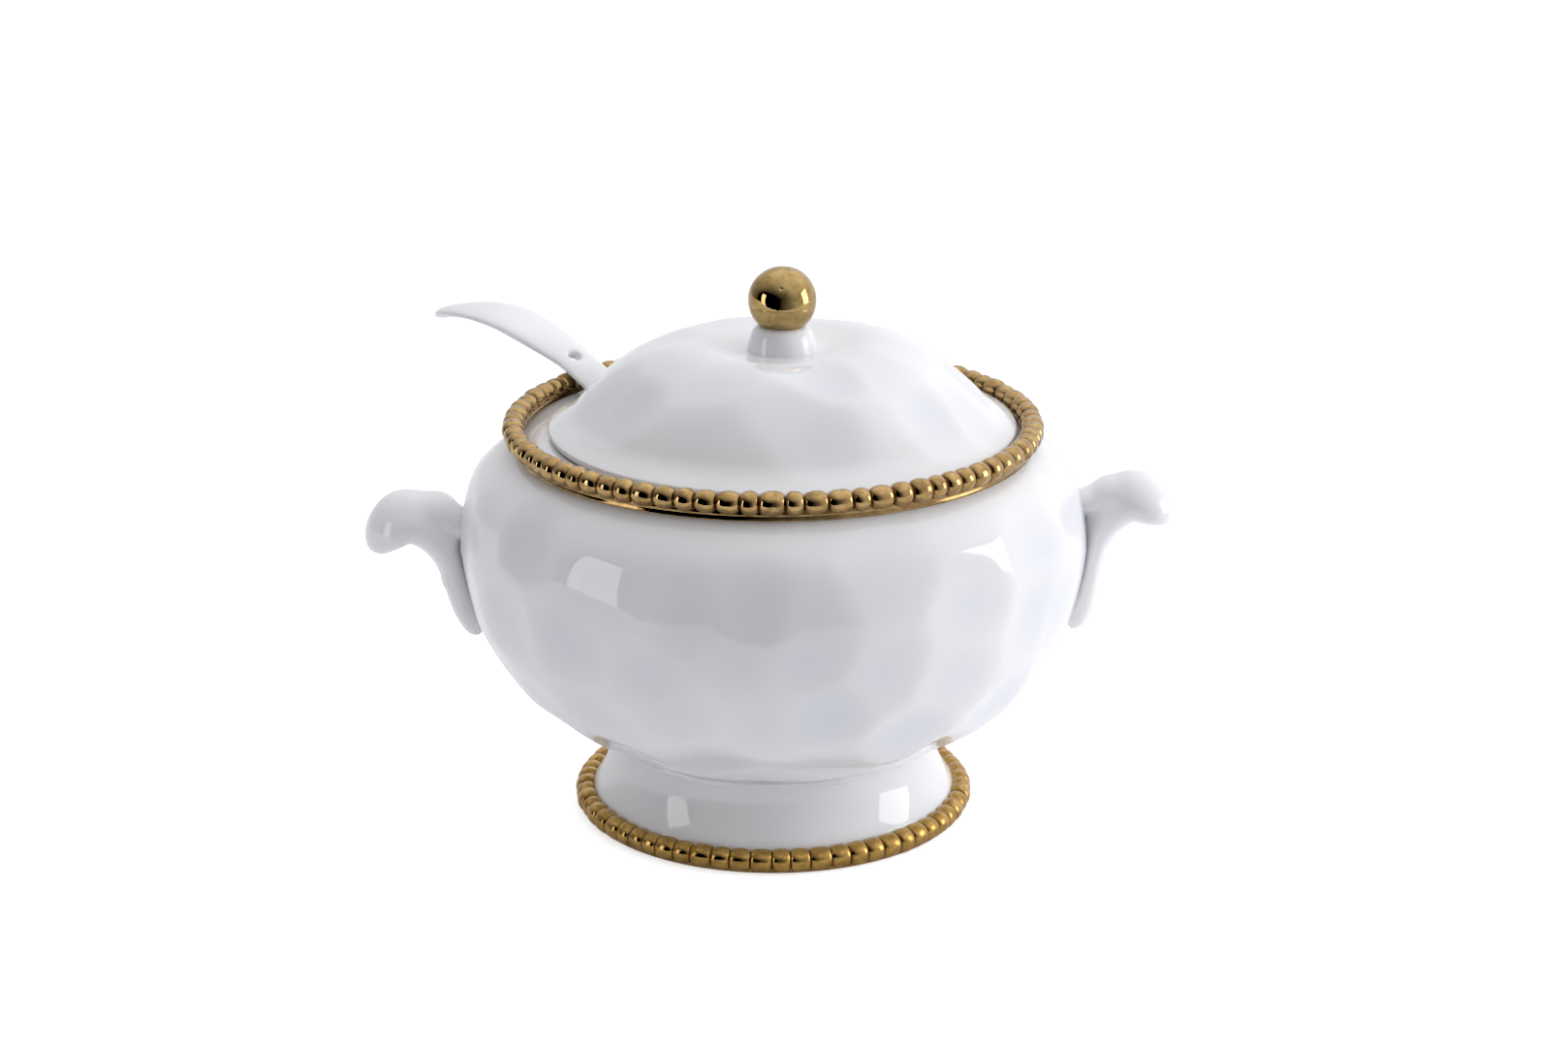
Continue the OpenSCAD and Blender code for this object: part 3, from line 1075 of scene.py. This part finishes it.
@dataclass
class Lid:
    """The domed lid with its notched brim, the ring that centres it and the gilded knob."""

    finishes: Finishes
    shift: float = 4 * MM
    brim_handles: Sequence[Point] = ((100.5, 172), (96.5, 174.5), (91.5, 176.5), (87.5, 181.4))
    dome_handles: Sequence[Point] = ((87.5, 181.4), (74.6, 196.7), (58, 208.3), (40, 208.3))
    crown_handles: Sequence[Point] = ((40, 208.3), (31, 208.3), (24, 204.3), (0, 204.3))
    collar_handles: Sequence[Point] = ((15.4, 203.4), (13.9, 206.5), (14.4, 211.5), (11.4, 214.6))
    wall: float = 3.9 * MM
    steps: int = 264
    notch_half_width: float = 15 * MM
    notch_end: float = 79 * MM
    notch_round: float = 0.8
    notch_flare: float = 0.65
    brim_lift: float = 2.6 * MM
    knob_swell: float = 1.02
    dents: Dents = Dents(spacing=32 * MM, reach=23 * MM, depth=2.0 * MM, seed=23)

    def build(self) -> None:
        """Makes the lid's pieces."""
        self.throw_dome()
        self.throw_ring()
        self.throw_collar()
        self.gild_knob()

    def outline(self) -> list[Point]:
        """The top of the lid, from its middle out to the brim's edge."""
        curve = chain(bezier(mm(self.brim_handles), 12), bezier(mm(self.dome_handles), 30),
                      bezier(mm(self.crown_handles), 16))
        return curve[::-1]

    def notch_middle(self) -> Vector:
        """The inner end of the notch, from the lid's own axis."""
        turn = Ladle.azimuth()
        return Vector((math.cos(turn), math.sin(turn))) * self.notch_end - Vector((self.shift, 0))

    def notch_turn(self) -> float:
        """Direction of the notch from the lid's own axis, in radians."""
        return math.atan2(self.notch_middle().y, self.notch_middle().x)

    def edge_radius(self, angle: float) -> float:
        """How far out the brim reaches in a direction.

        Args:
            angle: direction from the notch, in radians.

        Returns:
            The brim's radius there, less inside the notch.
        """
        full = self.brim_handles[0][0] * MM
        offside = abs(full * math.sin(angle))
        mouth = (self.notch_round + self.notch_flare) * self.notch_half_width
        if math.cos(angle) < 0 or offside > mouth:
            return full
        inner = offside / self.notch_half_width
        reach = self.notch_middle().length
        if inner < self.notch_round:
            return reach + self.notch_half_width * (1 - math.sqrt(1 - inner * inner))
        bottom = reach + self.notch_half_width * (1 - math.sqrt(1 - self.notch_round ** 2))
        t = (inner - self.notch_round) / self.notch_flare
        return bottom + (full - bottom) * t * t * (3 - 2 * t)

    def throw_dome(self) -> None:
        """Throws the dome, slides its brim back at the notch and presses the top by hand."""
        outline = self.outline()
        lengths = [0.0]
        for a, b in zip(outline, outline[1:]):
            lengths.append(lengths[-1] + math.dist(a, b))
        bm = clay()
        lathe(bm, outline, self.steps)
        bmesh.ops.remove_doubles(bm, verts=bm.verts, dist=0.002 * MM)
        bmesh.ops.recalc_face_normals(bm, faces=bm.faces)
        if max(bm.verts, key=lambda v: v.co.z).normal.z < 0:
            bmesh.ops.reverse_faces(bm, faces=bm.faces)
        fixed = lengths[-1] * 0.55
        for vert in bm.verts:
            self.slide(vert, outline, lengths, fixed)
        bm.normal_update()
        centres = self.dents.centres(outline[14:-8])
        self.dents.press(bm, [v for v in bm.verts if v.co.xy.length > 20 * MM], centres)
        bm.normal_update()
        wobble(bm.verts, 45 * MM, 0.5 * MM, 6.3)
        bmesh.ops.translate(bm, verts=bm.verts, vec=(self.shift, 0, 0))
        piece = make_piece(bm, "lid_shell_dome")
        wall = piece.modifiers.new("wall", "SOLIDIFY")
        wall.thickness = self.wall
        wall.offset = -1
        soften(piece)
        dress(piece, self.finishes.porcelain, Body.LID, "lid_shell")

    def slide(self, vert: bmesh.types.BMVert, outline: Sequence[Point], lengths: Sequence[float],
              fixed: float) -> None:
        """Moves one point of the dome along its outline, so that the brim ends at the notch's edge.

        Args:
            vert: the point.
            outline: the lid's top outline.
            lengths: the distance along the outline at each of its points.
            fixed: the distance inside which nothing slides.
        """
        radius = vert.co.xy.length
        if radius < 1e-6:
            return
        row = min(range(len(outline)), key=lambda k: abs(outline[k][0] - radius))
        turned = math.atan2(vert.co.y, vert.co.x) / math.pi
        angle = math.copysign(abs(turned) ** 1.7, turned) * math.pi
        reach = self.edge_radius(angle)
        last = max(k for k in range(len(outline)) if outline[k][0] <= reach + 1e-9)
        end = lengths[last]
        if last + 1 < len(outline):
            share = (reach - outline[last][0]) / (outline[last + 1][0] - outline[last][0])
            end += share * (lengths[last + 1] - lengths[last])
        walked = lengths[row]
        if walked > fixed:
            walked = fixed + (walked - fixed) * (end - fixed) / (lengths[-1] - fixed)
        k = max(i for i in range(len(lengths)) if lengths[i] <= walked + 1e-9)
        k = min(k, len(lengths) - 2)
        share = (walked - lengths[k]) / (lengths[k + 1] - lengths[k])
        r = outline[k][0] + share * (outline[k + 1][0] - outline[k][0])
        z = outline[k][1] + share * (outline[k + 1][1] - outline[k][1])
        edge = max(0.0, (lengths[row] - fixed) / (lengths[-1] - fixed))
        narrowed = 1 - reach / outline[-1][0]
        z += self.brim_lift * edge ** 4 * min(1.0, narrowed * 6)
        direction = angle + self.notch_turn()
        vert.co = (r * math.cos(direction), r * math.sin(direction), z)

    def throw_ring(self) -> None:
        """Throws the ring under the lid that drops inside the ledge, cut open at the notch."""
        low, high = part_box("lid_flange")
        inner_r, outer_r = 82.5 * MM, 86.5 * MM
        lip = 1.2 * MM
        corner = 0.3 * lip
        outline = [(inner_r, high.z), (inner_r, low.z + lip), (inner_r + corner, low.z + corner),
                   (inner_r + lip, low.z), (outer_r - lip, low.z),
                   (outer_r - corner, low.z + corner), (outer_r, low.z + lip), (outer_r, high.z)]
        gap = math.asin((self.notch_half_width + 1 * MM) / outer_r)
        bm = clay()
        lathe(bm, outline, 220, closed=True, start=self.notch_turn() + gap, sweep=math.tau - 2 * gap)
        clean(bm)
        bmesh.ops.translate(bm, verts=bm.verts, vec=(self.shift, 0, 0))
        dress(make_piece(bm, "lid_flange_ring"), self.finishes.porcelain, Body.LID, "lid_flange")

    def throw_collar(self) -> None:
        """Throws the small flared collar that carries the knob."""
        outer = bezier(mm(self.collar_handles), 14)
        bm = clay()
        lathe(bm, chain(mm([(0, 202.6), (15.4, 202.8)]), outer, mm([(9.5, 215.6), (0, 215.6)])), 96)
        clean(bm)
        wobble(bm.verts, 10 * MM, 0.35 * MM, 1.4)
        bmesh.ops.translate(bm, verts=bm.verts, vec=(self.shift, 0, 0))
        dress(make_piece(bm, "knob_collar_neck"), self.finishes.porcelain, Body.LID, "knob_collar")

    def gild_knob(self) -> None:
        """Rolls the ball knob, not quite round, with two pinholes near its top."""
        low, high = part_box("knob_ball")
        radius = (high.z - low.z) / 2 * self.knob_swell
        middle = (low + high) / 2
        bm = clay()
        bmesh.ops.create_icosphere(bm, subdivisions=6, radius=radius)
        pits = [Vector((-0.03, -0.62, 0.78)).normalized(), Vector((-0.03, -0.84, 0.54)).normalized()]
        for vert in bm.verts:
            way = vert.co.normalized()
            vert.co *= 1 + 0.012 * noise.noise(way * 1.6) - 0.015 * way.z ** 4
            for pit in pits:
                near = (way - pit).length / 0.045
                if near < 1:
                    vert.co *= 1 - 0.035 * (1 - near * near) ** 2
        bmesh.ops.translate(bm, verts=bm.verts, vec=middle)
        dress(make_piece(bm, "knob_ball_gilded"), self.finishes.knob_gold, Body.LID, "knob_ball")


# ---------------------------------------------------------------- ladle


@dataclass
class Ladle:
    """The ladle: a long curved handle with a broad pierced leaf, and a round scoop."""

    finishes: Finishes
    sweep_centre: Point = (190, 19.8)
    sweep_r: float = 180
    leaf_bend_r: float = 85
    scoop_deg: float = 164.0
    leaf_from_deg: float = 107.5
    tip_deg: float = 67.6
    hole_deg: float = 115.9
    hole_r: float = 2.75
    step: float = 3.2
    stem_half: float = 10.8
    leaf_curve: Sequence[Point] = ((112, 10.8), (141, 17.5), (185, 16), (194, 0))
    thick: float = 5.6
    sides: int = 20
    scoop_r: float = 35.9
    scoop_wall: float = 3.5
    scoop_rim_z: float = 72.0
    scoop_z: float = 79.9
    scoop_out: float = -14.66

    @staticmethod
    def azimuth() -> float:
        """Direction in which the ladle leans out, in radians from +X towards +Y."""
        return math.radians(143)

    def build(self) -> None:
        """Makes the ladle's pieces."""
        self.roll_handle()
        self.throw_scoop()

    def spot(self, walked: float) -> tuple[Vector, Vector]:
        """Finds a place along the handle.

        Args:
            walked: distance in millimetres along the middle line from the hanging hole, up positive.

        Returns:
            The place and the outward direction there, in the handle's own upright plane.
        """
        turn = math.radians(self.hole_deg) - walked / self.sweep_r
        bend = math.radians(self.leaf_from_deg)
        centre, radius = Vector(self.sweep_centre), self.sweep_r
        if turn < bend:
            passed = (bend - turn) * self.sweep_r
            across = Vector((math.cos(bend), math.sin(bend)))
            centre = centre + across * (self.sweep_r - self.leaf_bend_r)
            radius = self.leaf_bend_r
            turn = bend - passed / radius
        way = Vector((math.cos(turn), math.sin(turn)))
        return centre + way * radius, way

    def half_width(self, out: float) -> float:
        """Half the handle's width at a distance out from the tureen's axis, in millimetres."""
        curve = bezier(self.leaf_curve, 60)
        if out <= curve[0][0]:
            return self.stem_half
        for (r0, w0), (r1, w1) in zip(curve, curve[1:]):
            if r0 <= out <= r1:
                return w0 + (w1 - w0) * (out - r0) / (r1 - r0)
        return 0.0

    def roll_handle(self) -> None:
        """Rolls the strap of the handle out to its leaf and pierces the hanging hole."""
        down = math.radians(self.scoop_deg - self.hole_deg) * self.sweep_r
        up = (math.radians(self.hole_deg - self.leaf_from_deg) * self.sweep_r
              + math.radians(self.leaf_from_deg - self.tip_deg) * self.leaf_bend_r)
        below = int(down / self.step)
        above = int(up / self.step)
        stops = [k * self.step for k in range(-below, above)] + [up - 1.4, up - 0.3]
        bm = clay()
        rings = []
        for walked in stops:
            place, way = self.spot(walked)
            wide = max(1.2, self.half_width(place.x))
            thick = self.thick / 2 * min(1.0, 0.35 + wide / 10)
            made = bmesh.ops.create_circle(bm, cap_ends=False, segments=self.sides, radius=1.0)["verts"]
            for vert in made:
                side, lift = vert.co.x, vert.co.y
                flat = math.copysign(abs(lift) ** 0.8, lift) * thick
                at = place + way * flat
                vert.co = Vector((at.x, side * wide, at.y)) * MM
            rings.append(made)
        loft(bm, rings)
        self.pierce(bm, rings[below])
        turn = Matrix.Rotation(self.azimuth(), 3, "Z")
        bmesh.ops.rotate(bm, cent=(0, 0, 0), matrix=turn, verts=bm.verts)
        bmesh.ops.recalc_face_normals(bm, faces=bm.faces)
        bm.normal_update()
        wobble(bm.verts, 24 * MM, 0.5 * MM, 4.4)
        piece = make_piece(bm, "ladle_handle_strap")
        soften(piece, 2)
        dress(piece, self.finishes.porcelain, Body.LADLE, "ladle_handle")

    def pierce(self, bm: bmesh.types.BMesh, ring: Sequence[bmesh.types.BMVert]) -> None:
        """Opens the hanging hole through the strap at one ring.

        Args:
            bm: the handle's mesh, still in its own upright plane.
            ring: the ring at the hole's middle.
        """
        place, way = self.spot(0.0)
        middle = Vector((place.x, 0, place.y)) * MM
        through = Vector((way.x, 0, way.y))
        along = through.cross(Vector((0, 1, 0)))
        tops = [min(ring, key=lambda v: (v.co - middle - through * side * self.thick / 2 * MM).length)
                for side in (1, -1)]
        loops = []
        for top in tops:
            rim = {v for f in top.link_faces for v in f.verts} - {top}
            loops.append(rim)
        bmesh.ops.delete(bm, geom=tops, context="VERTS")
        edges = []
        for rim in loops:
            for vert in rim:
                offset = vert.co - middle
                depth = offset.dot(through)
                flat = offset - through * depth
                unit = Vector((flat.dot(along), flat.y)).normalized()
                size = self.hole_r * 1.02 * MM
                outward = along * unit.x + Vector((0, 1, 0)) * unit.y
                vert.co = middle + through * depth + outward * size
            edges += [e for e in {e for v in rim for e in v.link_edges} if e.is_boundary]
        bmesh.ops.bridge_loops(bm, edges=edges)

    def throw_scoop(self) -> None:
        """Throws the round scoop with its rounded rim."""
        rise = math.asin((self.scoop_rim_z - self.scoop_z) / self.scoop_r)
        inner_r = self.scoop_r - self.scoop_wall
        outer = [(self.scoop_r * math.cos(a), self.scoop_z + self.scoop_r * math.sin(a))
                 for a in (-math.pi / 2 + (rise + math.pi / 2) * k / 26 for k in range(27))]
        inner = [(inner_r * math.cos(a), self.scoop_z + inner_r * math.sin(a))
                 for a in (-math.pi / 2 + (rise + math.pi / 2) * k / 24 for k in range(25))]
        lip_r = (outer[-1][0] + inner[-1][0]) / 2
        half, lip_z = self.scoop_wall / 2, self.scoop_rim_z - 1.2
        lip = [(lip_r + half * math.cos(a), lip_z + half * math.sin(a))
               for a in (math.pi * k / 6 for k in range(1, 6))]
        outline = mm(outer[:-1] + lip + inner[-2::-1])
        bm = clay()
        lathe(bm, outline, 128)
        clean(bm)
        out = Vector((math.cos(self.azimuth()), math.sin(self.azimuth()), 0)) * self.scoop_out * MM
        wobble(bm.verts, 20 * MM, 0.3 * MM, 8.8)
        bmesh.ops.translate(bm, verts=bm.verts, vec=out)
        dress(make_piece(bm, "ladle_scoop_cup"), self.finishes.porcelain, Body.LADLE, "ladle_scoop")


# ---------------------------------------------------------------- the whole tureen


def main() -> None:
    """Builds the studio and every sub-assembly."""
    logging.basicConfig(level=logging.INFO, format="%(name)s: %(message)s")
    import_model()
    Studio().build()
    finishes = Finishes(
        porcelain=GlazedPorcelain().build(),
        knob_gold=GoldLustre("bright_gold_lustre", bright="#B69C69", thin="#957C49", gloss_low=0.03,
                             gloss_high=0.10).build(),
        # Rim gold: a separate, browner copy of the gold lustre, painted shade for the darker
        # reflections on the rim beads' tops; its near-black groove colour is painted shade between the
        # beads and on the collar.
        rim_gold=GoldLustre("rim_gold_lustre_with_painted_shade", bright="#BC9C68", thin="#8C7047", groove="#352713",
                            gloss_low=0.05, gloss_high=0.16).build(),
        # The foot gold's groove colour is painted shade between the foot beads.
        foot_gold=GoldLustre("satin_gold_lustre", bright="#BE9A57", thin="#96733A", groove="#4A3721",
                             gloss_low=0.16, gloss_high=0.34).build())
    assemblies = (
        Bowl(finishes),
        BeadRing("rim_beads", 78, finishes.rim_gold, seed=5, uneven=0.18, groove=0.48),
        Foot(finishes),
        BeadRing("foot_beads", 63, finishes.foot_gold, seed=17, groove=0.68),
        LugHandle("right_handle", finishes, Hand.RIGHT),
        LugHandle("left_handle", finishes, Hand.LEFT),
        Lid(finishes),
        Ladle(finishes),
    )
    for assembly in assemblies:
        assembly.build()
        log.info("%s is done", type(assembly).__name__)


if __name__ == "__main__":
    main()
